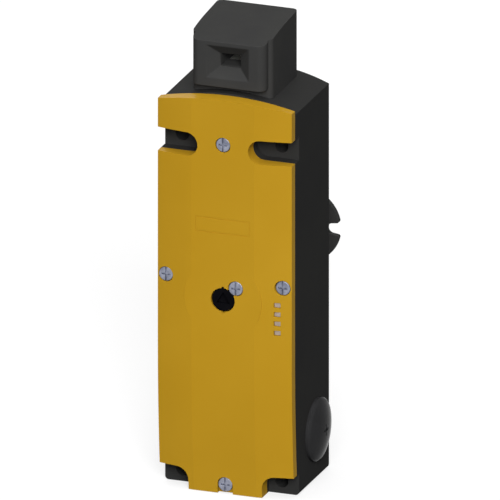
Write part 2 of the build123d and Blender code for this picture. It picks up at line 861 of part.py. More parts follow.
strip_y = plunger_y + strip_offset
with BuildPart() as bridges:
    for height in contact_heights:
        with BuildSketch(Plane.XY.offset(up(height))):
            with Locations((0, -plunger_y - bridge_offset)):
                Rectangle(2 * bridge_half, bridge_depth - fit_gap)
            for side in (-1, 1):
                with Locations((side * (bridge_half - bridge_pad / 2), -strip_y)):
                    Rectangle(bridge_pad, bridge_pad_depth)
        extrude(amount=contact_sheet)
save(bridges.part, "contact_bridges")



def fixed_height(index):
    """Height of a fixed contact: the last one closes as the plunger rises, the others open."""
    if index == contact_count - 1:
        return contact_heights[index] + contact_sheet + plunger_travel + near
    return contact_heights[index] - contact_sheet - near


with BuildPart() as block:
    with BuildSketch(Plane.XZ.offset(wall)):
        with Locations((0, up((block_bottom + block_top) / 2))):
            Rectangle(2 * block_half, block_top - block_bottom)
    extrude(amount=block_front - wall)
    fillet(block.edges().filter_by(Axis.Y), 1)
    with BuildSketch(Plane.XY.offset(up(block_bottom + 2))):
        with Locations((0, -plunger_y - 0.5)):
            Rectangle(2 * bridge_half + 2, 11)
    extrude(amount=block_top - block_bottom - 4, mode=Mode.SUBTRACT)
    with BuildSketch(Plane.XY.offset(up(block_bottom - 1))):
        with Locations((0, -plunger_y)):
            Circle(plunger_radius + near)
    extrude(amount=block_top - block_bottom + 2, mode=Mode.SUBTRACT)
    # Window in the front through which the bridges are seen
    with BuildSketch(Plane.XZ.offset(plunger_y + 3)):
        with Locations((0, up((block_bottom + block_top) / 2))):
            Rectangle(10, block_top - block_bottom - 6)
    extrude(amount=20, mode=Mode.SUBTRACT)
    for index in range(contact_count):
        for side in (-1, 1):
            with BuildSketch(Plane.XY.offset(up(fixed_height(index)))):
                with Locations((side * (bridge_half + 6), -strip_y)):
                    Rectangle(12, strip_depth)
            extrude(amount=contact_sheet, mode=Mode.SUBTRACT)
save(block.part, "contact_block")

with BuildPart() as strips:
    for index in range(contact_count):
        for side in (-1, 1):
            with BuildSketch(Plane.XY.offset(up(fixed_height(index)))):
                with Locations((side * (bridge_half - strip_lap + strip_length / 2), -strip_y)):
                    Rectangle(strip_length, strip_depth)
                with Locations((side * (block_half + strip_tail), -strip_y)):
                    Circle(contact_screw_radius + fit_gap, mode=Mode.SUBTRACT)
            extrude(amount=contact_sheet)
save(strips.part, "fixed_contacts")

with BuildPart() as strip_screws:
    for index in range(contact_count):
        for side in (-1, 1):
            with BuildSketch(Plane.XY.offset(up(fixed_height(index) - 0.6))):
                with Locations((side * (block_half + strip_tail), -strip_y)):
                    Circle(contact_screw_radius)
            extrude(amount=contact_sheet + 0.7)
            with BuildSketch(Plane.XY.offset(up(fixed_height(index) + contact_sheet))):
                with Locations((side * (block_half + strip_tail), -strip_y)):
                    Circle(contact_head_radius)
                    Rectangle(small_slot, 3 * contact_head_radius, mode=Mode.SUBTRACT)
            extrude(amount=contact_head_length)
save(strip_screws.part, "contact_screws")

# Solenoid
yoke_middle = up((yoke_bottom + yoke_top) / 2)
with BuildPart() as yoke:
    with BuildSketch(Plane.XZ.offset(plunger_y - yoke_depth_half)):
        with Locations((0, yoke_middle)):
            Rectangle(2 * yoke_half, yoke_top - yoke_bottom)
            Rectangle(
                2 * (yoke_half - yoke_sheet), yoke_top - yoke_bottom - 2 * yoke_sheet, mode=Mode.SUBTRACT
            )
    extrude(amount=2 * yoke_depth_half)
    fillet(yoke.edges().filter_by(Axis.Y).group_by(Axis.X)[-1], 1.2)
    fillet(yoke.edges().filter_by(Axis.Y).group_by(Axis.X)[0], 1.2)
    with Locations((0, -plunger_y, up(yoke_bottom))):
        Cylinder(armature_radius + near, 3 * yoke_sheet, mode=Mode.SUBTRACT)
    with Locations((0, -plunger_y, up(yoke_top))):
        Cylinder(armature_radius, 3 * yoke_sheet, mode=Mode.SUBTRACT)
save(yoke.part, "solenoid_yoke")

bobbin_bottom = yoke_bottom + yoke_sheet
bobbin_top = yoke_top - yoke_sheet
with BuildPart() as bobbin:
    with BuildSketch(Plane.XZ) as bobbin_half:
        with BuildLine():
            Polyline(
                (armature_radius + near, up(bobbin_bottom)),
                (coil_radius + 0.8, up(bobbin_bottom)),
                (coil_radius + 0.8, up(bobbin_bottom + 1)),
                (armature_radius + near + bobbin_wall, up(bobbin_bottom + 1)),
                (armature_radius + near + bobbin_wall, up(bobbin_top - 1)),
                (coil_radius + 0.8, up(bobbin_top - 1)),
                (coil_radius + 0.8, up(bobbin_top)),
                (armature_radius + near, up(bobbin_top)),
                close=True,
            )
        make_face()
    revolve(axis=Axis.Z)
save(Pos(0, -plunger_y, 0) * bobbin.part, "coil_bobbin")

with BuildPart() as winding:
    with BuildSketch(Plane.XY.offset(up(bobbin_bottom + 1))):
        with Locations((0, -plunger_y)):
            Circle(coil_radius)
            Circle(armature_radius + near + bobbin_wall, mode=Mode.SUBTRACT)
    extrude(amount=bobbin_top - bobbin_bottom - 2)
save(winding.part, "coil_winding")

armature_top = pole_bottom - near
armature_bottom = yoke_bottom - 2 + lock_travel
with BuildPart() as pole:
    with BuildSketch(Plane.XY.offset(up(pole_bottom))):
        with Locations((0, -plunger_y)):
            Circle(armature_radius)
            Circle(rod_radius + near, mode=Mode.SUBTRACT)
    extrude(amount=yoke_top - pole_bottom)
save(pole.part, "pole_piece")

spring_floor = armature_top - spring_depth
plate_bottom = yoke_top + 0.5 + lock_travel
with BuildPart() as armature:
    with BuildSketch(Plane.XY.offset(up(armature_bottom))):
        with Locations((0, -plunger_y)):
            Circle(armature_radius)
    extrude(amount=armature_top - armature_bottom)
    with BuildSketch(Plane.XY.offset(up(spring_floor))):
        with Locations((0, -plunger_y)):
            Circle(armature_radius - 0.9)
    extrude(amount=20, mode=Mode.SUBTRACT)
    with BuildSketch(Plane.XY.offset(up(spring_floor - 0.5))):
        with Locations((0, -plunger_y)):
            Circle(rod_radius)
    extrude(amount=plate_bottom - spring_floor + 0.5)
save(armature.part, "armature")

with BuildPart() as armature_spring:
    add(coil_spring(spring_floor, pole_bottom, 2.4, 0.5, 5))
save(armature_spring.part, "armature_spring")

# Release shaft's cam lifts the lock plate evenly over its quarter turn
lift_rate = lock_travel / radians(release_turn)
base_lift = shaft_radius + 0.5


def lift_point(angle):
    """Point of the release cam whose flat follower stands at an even lift."""
    lift = base_lift + lift_rate * angle
    return (
        lift * cos(angle) - lift_rate * sin(angle),
        lift * sin(angle) + lift_rate * cos(angle),
    )


quarter = radians(release_turn)
lift_points = [lift_point(quarter * n / 8) for n in range(9)]
cam_reach = hypot(*lift_points[-1])
cam_half = plate_thickness / 2 + 0.7
release_z = up(release_height)
with BuildPart() as release_cam:
    # The lift starts to the right and ends under the plate, which it holds up at rest
    with BuildSketch(centre.offset(-cam_half)):
        with Locations((0, release_z)):
            Circle(base_lift)
        with BuildLine():
            Spline(*[(x, release_z + y) for x, y in lift_points])
            Polyline(
                (lift_points[-1][0], release_z + lift_points[-1][1]),
                (0, release_z),
                (lift_points[0][0], release_z + lift_points[0][1]),
            )
        make_face()
        with Locations((0, release_z)):
            Circle(shaft_radius + 0.01, mode=Mode.SUBTRACT)
    extrude(amount=2 * cam_half)
save(release_cam.part, "release_cam")

window_top = release_height + base_lift + lock_travel + near
window_low = release_height - base_lift - near
notch_height = pawl_height + lock_travel
plate_top = notch_height + 3.2
with BuildPart() as plate:
    with BuildSketch(centre.offset(-plate_thickness / 2)):
        with Locations((0, up((plate_bottom + plate_top) / 2))):
            Rectangle(2 * plate_half, plate_top - plate_bottom)
        with Locations((0, up((window_low + window_top) / 2))):
            Rectangle(2 * (cam_reach + near), window_top - window_low, mode=Mode.SUBTRACT)
        with Locations((0, up(notch_height))):
            Rectangle(2 * (pawl_half + near), 2.4 + 2 * near, mode=Mode.SUBTRACT)
    extrude(amount=plate_thickness)
save(plate.part, "lock_plate")

# Pawl: one arm in the plate's window, one tooth in the plunger's groove
pivot_y = plunger_y + pawl_arm
pawl_z = up(pawl_height)
pawl_swing = lock_travel / pawl_arm
tooth_length = pawl_arm - plunger_radius + groove_depth - near
pawl_plane = Plane(
    origin=(-pawl_half, -pivot_y, pawl_z),
    x_dir=(0, cos(pawl_swing), sin(pawl_swing)),
    z_dir=(1, 0, 0),
)
with BuildPart() as pawl:
    with BuildSketch(pawl_plane):
        Circle(pawl_hub)
        with Locations((pawl_arm / 2, 0)):
            Rectangle(pawl_arm, 1.6)
        with Locations((pawl_arm, 0)):
            Circle(1.2)
        with Locations((0, pawl_reach / 2)):
            Rectangle(2.4, pawl_reach + tooth_thickness)
        with Locations((tooth_length / 2, pawl_reach)):
            Rectangle(tooth_length, tooth_thickness)
        Circle(pin_radius + run_gap, mode=Mode.SUBTRACT)
    extrude(amount=2 * pawl_half)
save(pawl.part, "lock_pawl")

ear_gap = shaft_radius + 0.9
ear_sheet = 1.4
with BuildPart() as pawl_pin:
    with BuildSketch(Plane.YZ.offset(-ear_gap - ear_sheet - 0.6)):
        with Locations((-pivot_y, pawl_z)):
            Circle(pin_radius)
    extrude(amount=2 * (ear_gap + ear_sheet + 0.6))
save(pawl_pin.part, "pawl_pin")

# Bracket on the yoke whose two ears carry the pawl's pin
bracket_front = plunger_y + yoke_depth_half
with BuildPart() as bracket:
    with BuildSketch(Plane.XY.offset(up(yoke_top))):
        with Locations((0, -plunger_y - 5.5)):
            Rectangle(2 * (ear_gap + ear_sheet), 2 * (bracket_front - plunger_y) - 11)
    extrude(amount=1.2)
    for side in (-1, 1):
        with BuildSketch(Plane.YZ.offset(side * ear_gap)):
            with BuildLine():
                Polyline(
                    (-plunger_y - 3, up(yoke_top)),
                    (-bracket_front, up(yoke_top)),
                    (-pivot_y - pawl_hub, up(yoke_top + 4)),
                    (-pivot_y - pawl_hub, pawl_z + pawl_hub),
                    (-pivot_y + pawl_hub, pawl_z + pawl_hub),
                    (-pivot_y + pawl_hub, up(yoke_top + 6)),
                    (-plunger_y - 3, up(yoke_top + 3)),
                    close=True,
                )
            make_face()
            with Locations((-pivot_y, pawl_z)):
                Circle(pin_radius, mode=Mode.SUBTRACT)
        extrude(amount=side * ear_sheet)
save(bracket.part, "lock_bracket")

# Terminal block on the back wall, with its clamp screws
terminal_middle = up((terminal_bottom + terminal_top) / 2)
with BuildPart() as terminals:
    with BuildSketch(Plane.XZ.offset(wall)):
        with Locations((0, terminal_middle)):
            Rectangle(2 * terminal_half, terminal_top - terminal_bottom)
    extrude(amount=terminal_front - wall)
    with BuildSketch(Plane.XZ.offset(terminal_front - terminal_sink)):
        with Locations((0, terminal_middle)):
            with GridLocations(terminal_pitch, 1, terminal_count, 1):
                Circle(terminal_hole)
    extrude(amount=2 * terminal_sink, mode=Mode.SUBTRACT)
    with BuildSketch(Plane.XY.offset(up(terminal_bottom))):
        with Locations((0, -terminal_front / 2 - wire_hole_inset)):
            with GridLocations(terminal_pitch, 1, terminal_count, 1):
                Rectangle(wire_hole, wire_hole)
    extrude(amount=wire_hole_depth, mode=Mode.SUBTRACT)
save(terminals.part, "terminal_block")

with BuildPart() as terminal_screws:
    with BuildSketch(Plane.XZ.offset(terminal_front - terminal_sink)):
        with Locations((0, terminal_middle)):
            with GridLocations(terminal_pitch, 1, terminal_count, 1):
                Circle(terminal_hole - fit_gap)
    extrude(amount=1.8)
    with BuildSketch(Plane.XZ.offset(terminal_front - terminal_sink + 1.1)):
        with Locations((0, terminal_middle)):
            with GridLocations(terminal_pitch, 1, terminal_count, 1):
                Rectangle(small_slot, terminal_slot)
    extrude(amount=1, mode=Mode.SUBTRACT)
save(terminal_screws.part, "terminal_screws")

# Blanking plug: flange with an even dome, plain neck, cross recess
plug_dome_half = plug_radius - plug_edge
plug_rise = plug_dome - plug_rim
plug_dome_radius = (plug_dome_half**2 + plug_rise**2) / (2 * plug_rise)
plug_seal_radius = plug_radius - plug_edge
with BuildPart() as plug:
    with BuildSketch(Plane.XZ):
        with BuildLine():
            Polyline(
                (0, plug_dome),
                (0, -plug_neck),
                (entry_radius - fit_gap, -plug_neck),
                (entry_radius - fit_gap, 0),
                (plug_radius, 0),
                (plug_radius, plug_rim - plug_edge),
                (plug_dome_half, plug_rim),
            )
            ThreePointArc(
                (plug_dome_half, plug_rim),
                (
                    plug_dome_half / 2,
                    plug_dome - plug_dome_radius
                    + sqrt(plug_dome_radius**2 - (plug_dome_half / 2) ** 2),
                ),
                (0, plug_dome),
            )
        make_face()
    revolve(axis=Axis.Z)
    with BuildSketch(Plane.XY):
        Circle(plug_seal_radius)
        Circle(entry_radius - fit_gap, mode=Mode.SUBTRACT)
    extrude(amount=seal_depth, mode=Mode.SUBTRACT)
    with BuildSketch(Plane.XY.offset(plug_dome - plug_cross_depth)):
        Rectangle(plug_cross_length, plug_cross_width)
        Rectangle(plug_cross_width, plug_cross_length)
    extrude(amount=2 * plug_cross_depth, mode=Mode.SUBTRACT)

with BuildPart() as plug_seal:
    with BuildSketch():
        Circle(plug_seal_radius - fit_gap)
        Circle(entry_radius + 2 * fit_gap, mode=Mode.SUBTRACT)
    extrude(amount=seal_depth - seal_slack)

right_entry = Plane(origin=(width / 2, -entry_y, entry_z), x_dir=(0, 1, 0), z_dir=(1, 0, 0))
left_entry = Plane(origin=(-width / 2, -entry_y, entry_z), x_dir=(0, -1, 0), z_dir=(-1, 0, 0))
save(right_entry * plug.part, "entry_plug_right")
save(left_entry * plug.part, "entry_plug_left")
with BuildPart() as plug_seals:
    add(right_entry * plug_seal.part)
    add(left_entry * plug_seal.part)
save(plug_seals.part, "entry_plug_seals")

# Release: rotor under the key hole, stepped shaft, bush, seals, clip, knob and its screw
rotor_front = depth + crown - rotor_sink
rotor_back = rotor_front - rotor_length
with BuildPart() as rotor:
    with BuildSketch(Plane.XZ.offset(rotor_back)):
        with Locations((0, release_z)):
            Circle(rotor_radius)
    extrude(amount=rotor_length)
    with BuildSketch(Plane.XZ.offset(rotor_front - 1.4)):
        with Locations((0, release_z)):
            Rectangle(1.6, 6.4)
            Rectangle(6.4, 1.6)
            Circle(1.9)
    extrude(amount=2, mode=Mode.SUBTRACT)
    with BuildSketch(Plane.XZ.offset(rotor_back - 1)):
        with Locations((0, release_z)):
            Circle(shaft_radius + 0.01)
    extrude(amount=1 + rotor_length / 2, mode=Mode.SUBTRACT)
    with BuildSketch(Plane.XZ.offset(rotor_back + 1)):
        with Locations((0, release_z)):
            Circle(rotor_radius + 1)
            Circle(rotor_radius - 0.8, mode=Mode.SUBTRACT)
    extrude(amount=1.2, mode=Mode.SUBTRACT)
save(rotor.part, "release_rotor")

with BuildPart() as rotor_seal:
    with BuildSketch(Plane.XZ.offset(rotor_back + 1.1)):
        with Locations((0, release_z)):
            Circle(key_hole_radius - 0.02)
            Circle(rotor_radius - 0.75, mode=Mode.SUBTRACT)
    extrude(amount=1.0)
save(rotor_seal.part, "rotor_seal")

stem_start = 0.5
shaft_front = rotor_back + rotor_length / 2
clip_y = wall + 1.4
with BuildPart() as shaft:
    with BuildSketch(Plane.XZ.offset(-stem_start)):
        with Locations((0, release_z)):
            Circle(shaft_radius)
    extrude(amount=shaft_front + stem_start)
    with BuildSketch(Plane.XZ.offset(-knob_back + knob_web)):
        with Locations((0, release_z)):
            Circle(stem_radius)
    extrude(amount=knob_back - knob_web - stem_start)
    with BuildSketch(Plane.XZ.offset(clip_y)):
        with Locations((0, release_z)):
            Circle(shaft_radius + 1)
            Circle(shaft_radius - 0.6, mode=Mode.SUBTRACT)
    extrude(amount=0.9, mode=Mode.SUBTRACT)
    with BuildSketch(Plane.XZ.offset(-knob_back)):
        with Locations((0, release_z)):
            Circle(knob_screw_radius + fit_gap)
    extrude(amount=knob_screw_length + 2, mode=Mode.SUBTRACT)
save(shaft.part, "release_shaft")

with BuildPart() as clip:
    with BuildSketch(Plane.XZ.offset(clip_y + 0.05)):
        with Locations((0, release_z)):
            Circle(shaft_radius + 1.6)
            Circle(shaft_radius - 0.58, mode=Mode.SUBTRACT)
        with Locations((0, release_z - shaft_radius)):
            Rectangle(2.6, 2 * shaft_radius, mode=Mode.SUBTRACT)
    extrude(amount=0.8)
save(clip.part, "shaft_clip")

with BuildPart() as bush:
    with BuildSketch(Plane.XZ):
        with Locations((0, release_z)):
            Circle(stem_radius + 1)
    extrude(amount=wall)
    with BuildSketch(Plane.XZ.offset(wall)):
        with Locations((0, release_z)):
            Circle(bush_flange)
    extrude(amount=1)
    with BuildSketch(Plane.XZ.offset(-1)):
        with Locations((0, release_z)):
            Circle(shaft_radius + run_gap)
    extrude(amount=wall + 3, mode=Mode.SUBTRACT)
    with BuildSketch(Plane.XZ.offset(-1)):
        with Locations((0, release_z)):
            Circle(stem_radius)
    extrude(amount=2.3, mode=Mode.SUBTRACT)
save(bush.part, "release_bush")

with BuildPart() as shaft_seal:
    with BuildSketch(Plane.XZ.offset(0.05)):
        with Locations((0, release_z)):
            Circle(stem_radius - 0.02)
            Circle(shaft_radius + run_gap, mode=Mode.SUBTRACT)
    extrude(amount=1.2)
save(shaft_seal.part, "release_shaft_seal")

# Knob: a flat wheel with flared notches that open at the rim, and a hub on the stem
notch_end = knob_radius - knob_notch_depth
notch_turn = notch_end + knob_notch_width / 2
notch_out = knob_radius + knob_tip_round
with BuildSketch() as knob_notch:
    with BuildLine():
        Polyline(
            (notch_turn, knob_notch_width / 2),
            (notch_out, knob_notch_mouth / 2),
            (notch_out, -knob_notch_mouth / 2),
            (notch_turn, -knob_notch_width / 2),
        )
        ThreePointArc(
            (notch_turn, -knob_notch_width / 2), (notch_end, 0), (notch_turn, knob_notch_width / 2)
        )
    make_face()

with BuildSketch() as knob_outline:
    Circle(knob_radius)
    with PolarLocations(0, knob_notch_count):
        add(knob_notch.sketch, mode=Mode.SUBTRACT)
    fillet(
        knob_outline.vertices().sort_by_distance((0, 0))[-2 * knob_notch_count:], knob_tip_round
    )

with BuildPart() as knob:
    with BuildSketch(Plane.XZ.offset(-knob_back)):
        with Locations((0, release_z)):
            add(knob_outline.sketch)
    extrude(amount=knob_thickness)
    fillet(knob.faces().sort_by(Axis.Y)[-1].outer_wire().edges(), knob_edge)
    with BuildSketch(Plane.XZ.offset(-knob_back + knob_thickness)):
        with Locations((0, release_z)):
            Circle(stem_radius + knob_hub_wall)
    extrude(amount=knob_hub_length)
    # Screw hole, seat of the stem from the front and seat of the screw's head from behind
    with BuildSketch(Plane.XZ.offset(-knob_back)):
        with Locations((0, release_z)):
            Circle(knob_screw_radius + fit_gap)
    extrude(amount=knob_thickness, mode=Mode.SUBTRACT)
    with BuildSketch(Plane.XZ.offset(-knob_back + knob_web)):
        with Locations((0, release_z)):
            Circle(stem_radius)
    extrude(amount=knob_back, mode=Mode.SUBTRACT)
    with BuildSketch(Plane.XZ.offset(-knob_back - 1)):
        with Locations((0, release_z)):
            Circle(knob_screw_head + screw_gap)
    extrude(amount=1 + knob_screw_sink, mode=Mode.SUBTRACT)
save(knob.part, "escape_knob")

with BuildPart() as knob_screw:
    with BuildSketch(Plane.XZ.offset(-knob_back + knob_screw_sink - knob_head_thick)):
        with Locations((0, release_z)):
            Circle(knob_screw_head)
    extrude(amount=knob_head_thick)
    with BuildSketch(Plane.XZ.offset(-knob_back + knob_screw_sink - knob_head_thick)):
        with Locations((0, release_z)):
            Rectangle(slot_width, 3 * knob_screw_head)
    extrude(amount=knob_head_thick / 2, mode=Mode.SUBTRACT)
    with BuildSketch(Plane.XZ.offset(-knob_back + knob_screw_sink)):
        with Locations((0, release_z)):
            Circle(knob_screw_radius)
    extrude(amount=knob_screw_length)
save(knob_screw.part, "knob_screw")
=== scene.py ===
import json
import math

import bmesh
import bpy
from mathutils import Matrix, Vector

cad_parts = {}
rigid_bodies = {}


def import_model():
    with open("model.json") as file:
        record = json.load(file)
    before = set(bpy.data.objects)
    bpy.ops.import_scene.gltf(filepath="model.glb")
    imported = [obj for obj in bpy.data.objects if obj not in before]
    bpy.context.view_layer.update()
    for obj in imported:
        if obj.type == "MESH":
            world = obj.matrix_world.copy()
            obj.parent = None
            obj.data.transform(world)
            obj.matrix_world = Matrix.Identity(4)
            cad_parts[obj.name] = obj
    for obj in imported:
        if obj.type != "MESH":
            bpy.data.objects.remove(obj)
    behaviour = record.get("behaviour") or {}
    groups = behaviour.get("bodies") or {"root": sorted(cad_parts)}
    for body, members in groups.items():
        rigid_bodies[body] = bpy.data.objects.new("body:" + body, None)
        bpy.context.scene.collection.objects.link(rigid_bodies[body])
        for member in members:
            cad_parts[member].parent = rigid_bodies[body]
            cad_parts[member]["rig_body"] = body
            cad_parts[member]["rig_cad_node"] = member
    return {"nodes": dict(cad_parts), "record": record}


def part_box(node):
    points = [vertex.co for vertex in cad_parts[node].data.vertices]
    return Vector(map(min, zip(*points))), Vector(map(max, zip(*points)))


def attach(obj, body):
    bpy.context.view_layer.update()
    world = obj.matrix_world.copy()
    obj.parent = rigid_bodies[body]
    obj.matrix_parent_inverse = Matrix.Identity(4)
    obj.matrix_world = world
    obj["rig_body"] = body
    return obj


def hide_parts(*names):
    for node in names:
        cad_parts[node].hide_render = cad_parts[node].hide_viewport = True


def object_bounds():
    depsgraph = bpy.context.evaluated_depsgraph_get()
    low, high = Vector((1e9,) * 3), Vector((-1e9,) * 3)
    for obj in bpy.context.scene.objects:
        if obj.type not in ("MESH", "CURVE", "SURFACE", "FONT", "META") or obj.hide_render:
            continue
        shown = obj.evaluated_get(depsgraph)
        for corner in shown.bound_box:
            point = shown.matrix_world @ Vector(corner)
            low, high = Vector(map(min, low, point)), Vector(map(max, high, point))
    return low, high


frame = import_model()
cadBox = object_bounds()

bodyOf = {}
for bodyName, members in frame["record"]["behaviour"]["bodies"].items():
    for member in members:
        bodyOf[member] = bodyName
slotOf = {s["node"]: s["material_slot"] for s in frame["record"]["subparts"]}


def linearColor(hexText, alpha=1.0):
    # sRGB hex to the linear values that shaders take
    parts = [int(hexText[i:i + 2], 16) / 255 for i in (1, 3, 5)]
    return [c / 12.92 if c <= 0.04045 else ((c + 0.055) / 1.055) ** 2.4 for c in parts] + [alpha]


def addNode(tree, kind, values=None, links=None, **settings):
    # adds one node with its settings, socket values and incoming links
    node = tree.nodes.new(kind)
    for key, value in settings.items():
        setattr(node, key, value)
    for key, value in (values or {}).items():
        node.inputs[key].default_value = value
    for key, socket in (links or {}).items():
        tree.links.new(socket, node.inputs[key])
    return node


def newMaterial(name):
    material = bpy.data.materials.new(name)
    material.use_nodes = True
    tree = material.node_tree
    tree.nodes.clear()
    coords = addNode(tree, "ShaderNodeTexCoord")
    return material, tree, coords.outputs["Object"]


def finishMaterial(tree, shader):
    addNode(tree, "ShaderNodeOutputMaterial", links={"Surface": shader.outputs["BSDF"]})


def shadeRange(tree, factor, lowHex, highHex, low=0.3, high=0.7):
    ramp = addNode(tree, "ShaderNodeValToRGB", links={"Fac": factor})
    ramp.color_ramp.elements[0].position = low
    ramp.color_ramp.elements[1].position = high
    ramp.color_ramp.elements[0].color = linearColor(lowHex)
    ramp.color_ramp.elements[1].color = linearColor(highHex)
    return ramp.outputs["Color"]


def numberRange(tree, factor, low, high):
    mapped = addNode(
        tree, "ShaderNodeMapRange", values={"To Min": low, "To Max": high}, links={"Value": factor}
    )
    return mapped.outputs["Result"]


def mouldedPlastic(name, look):
    # injection moulded: spark-eroded grain from the tool, slow drift of shade and gloss in the skin
    material, tree, coords = newMaterial(name)
    drift = addNode(
        tree, "ShaderNodeTexNoise",
        {"Scale": 1 / look["driftSize"], "Detail": 3.0},
        {"Vector": coords},
    )
    grain = addNode(
        tree, "ShaderNodeTexNoise",
        {"Scale": 1 / look["grainSize"], "Detail": 2.0},
        {"Vector": coords},
    )
    bump = addNode(
        tree, "ShaderNodeBump",
        {"Strength": look["grainStrength"], "Distance": look["grainDepth"]},
        {"Height": grain.outputs["Fac"]},
    )
    shader = addNode(
        tree, "ShaderNodeBsdfPrincipled",
        {"IOR": look["ior"], "Specular IOR Level": look["specular"]},
        {
            "Base Color": shadeRange(tree, drift.outputs["Fac"], look["dark"], look["light"]),
            "Roughness": numberRange(tree, drift.outputs["Fac"], *look["roughness"]),
            "Normal": bump.outputs["Normal"],
        },
    )
    finishMaterial(tree, shader)
    return material


metalLineDepth = 0.00002


def finishedMetal(name, look):
    # plated, turned or drawn metal: fine lines along one axis and cloudy brightness
    material, tree, coords = newMaterial(name)
    stretch = addNode(tree, "ShaderNodeMapping", {"Scale": look["lineStretch"]}, {"Vector": coords})
    lines = addNode(
        tree, "ShaderNodeTexNoise",
        {"Scale": 1 / look["lineSize"], "Detail": 3.0},
        {"Vector": stretch.outputs["Vector"]},
    )
    cloud = addNode(
        tree, "ShaderNodeTexNoise",
        {"Scale": 1 / look["cloudSize"], "Detail": 4.0},
        {"Vector": coords},
    )
    bump = addNode(
        tree, "ShaderNodeBump",
        {"Strength": look["lineStrength"], "Distance": metalLineDepth},
        {"Height": lines.outputs["Fac"]},
    )
    shader = addNode(
        tree, "ShaderNodeBsdfPrincipled",
        {"Metallic": look["metallic"]},
        {
            "Base Color": shadeRange(tree, cloud.outputs["Fac"], look["dark"], look["light"]),
            "Roughness": numberRange(tree, lines.outputs["Fac"], *look["roughness"]),
            "Normal": bump.outputs["Normal"],
        },
    )
    finishMaterial(tree, shader)
    return material


plasticLooks = {
    # glass-filled polyamide, black, matt and slightly mottled
    "black_plastic": ("PolyamideBlackMoulded", dict(
        dark="#303030", light="#343433", roughness=(0.6, 0.7), driftSize=0.03, grainSize=0.0005,
        grainStrength=0.12, grainDepth=0.00004, ior=1.53, specular=0.002)),
    # ABS blend in signal yellow, satin
    "yellow_plastic": ("AbsYellowMoulded", dict(
        dark="#b48a1f", light="#ba9024", roughness=(0.42, 0.5), driftSize=0.05, grainSize=0.0006,
        grainStrength=0.08, grainDepth=0.00003, ior=1.52, specular=0.015)),
    "plug_plastic": ("PolyamideBlackPolished", dict(
        dark="#2a2a2b", light="#303031", roughness=(0.14, 0.2), driftSize=0.01, grainSize=0.0008,
        grainStrength=0.05, grainDepth=0.00003, ior=1.53, specular=0.012)),
    "knob_plastic": ("PolyamideBlackKnob", dict(
        dark="#333333", light="#383837", roughness=(0.5, 0.6), driftSize=0.01, grainSize=0.0005,
        grainStrength=0.12, grainDepth=0.00004, ior=1.53, specular=0.01)),
    "grey_plastic": ("PolyamideGreyMoulded", dict(
        dark="#6d6f72", light="#787a7d", roughness=(0.5, 0.6), driftSize=0.01, grainSize=0.0005,
        grainStrength=0.1, grainDepth=0.00004, ior=1.53, specular=0.4)),
    "bearing_plastic": ("AcetalNatural", dict(
        dark="#d2d0c6", light="#dedcd3", roughness=(0.3, 0.4), driftSize=0.01, grainSize=0.0006,
        grainStrength=0.05, grainDepth=0.00003, ior=1.48, specular=0.5)),
    "socket_black": ("PolyamideBlackDeepSocket", dict(
        dark="#0c0c0f", light="#101013", roughness=(0.7, 0.8), driftSize=0.004, grainSize=0.0005,
        grainStrength=0.1, grainDepth=0.00003, ior=1.5, specular=0.002)),
    "rubber": ("NitrileRubberMoulded", dict(
        dark="#161616", light="#1e1e1e", roughness=(0.7, 0.85), driftSize=0.006, grainSize=0.0004,
        grainStrength=0.2, grainDepth=0.00005, ior=1.52, specular=0.3)),
    "light_guide": ("PolycarbonateFrosted", dict(
        dark="#9c8d80", light="#ad9f93", roughness=(0.25, 0.4), driftSize=0.002, grainSize=0.0003,
        grainStrength=0.1, grainDepth=0.00003, ior=1.58, specular=0.2)),
    "circuit_board": ("SolderMaskGreen", dict(
        dark="#0d3b22", light="#14502e", roughness=(0.3, 0.45), driftSize=0.003, grainSize=0.0008,
        grainStrength=0.15, grainDepth=0.00003, ior=1.5, specular=0.5)),
    "black_metal": ("ZincCastingBlackCoated", dict(
        dark="#383838", light="#3d3d3c", roughness=(0.6, 0.7), driftSize=0.02, grainSize=0.0007,
        grainStrength=0.15, grainDepth=0.00005, ior=1.5, specular=0.003)),
}
metalLooks = {
    # steel screws with blue zinc plating, a little clouded
    "zinc_steel": ("SteelZincPlated", dict(
        dark="#6f7383", light="#9599a8", roughness=(0.35, 0.5), lineSize=0.0008, cloudSize=0.002,
        lineStretch=(1, 1, 1), lineStrength=0.1, metallic=0.85)),
    "bright_steel": ("SteelTurned", dict(
        dark="#a2a3a5", light="#b9babc", roughness=(0.25, 0.4), lineSize=0.0006, cloudSize=0.004,
        lineStretch=(0.2, 1, 1), lineStrength=0.15, metallic=1.0)),
    "spring_steel": ("SpringWireDrawn", dict(
        dark="#7d7e80", light="#949597", roughness=(0.3, 0.45), lineSize=0.0004, cloudSize=0.002,
        lineStretch=(1, 1, 0.2), lineStrength=0.1, metallic=1.0)),
    # sintered steel of the cam wheel: its dark grey is painted lighter, as painted light for the
    # light that hardly reaches it inside the head's funnel
    "cam_metal": ("SteelSinteredPaintedLight", dict(
        dark="#9c9c96", light="#acaca6", roughness=(0.4, 0.55), lineSize=0.0004, cloudSize=0.002,
        lineStretch=(1, 1, 1), lineStrength=0.2, metallic=0.6)),
    "brass": ("BrassStamped", dict(
        dark="#b08d45", light="#c9a75c", roughness=(0.3, 0.4), lineSize=0.0006, cloudSize=0.003,
        lineStretch=(0.2, 1, 1), lineStrength=0.1, metallic=1.0)),
    "copper": ("CopperWireEnamelled", dict(
        dark="#a4552c", light="#c06a3b", roughness=(0.25, 0.35), lineSize=0.0003, cloudSize=0.002,
        lineStretch=(0.1, 0.1, 1.5), lineStrength=0.6, metallic=0.8)),
}
finishOf = {}
for slotName, (title, look) in plasticLooks.items():
    finishOf[slotName] = mouldedPlastic(title, look)
for slotName, (title, look) in metalLooks.items():
    finishOf[slotName] = finishedMetal(title, look)
print("materials:", len(finishOf))

for nodeName, nodeObject in frame["nodes"].items():
    nodeObject.data.materials.clear()
    nodeObject.data.materials.append(finishOf[slotOf[nodeName]])

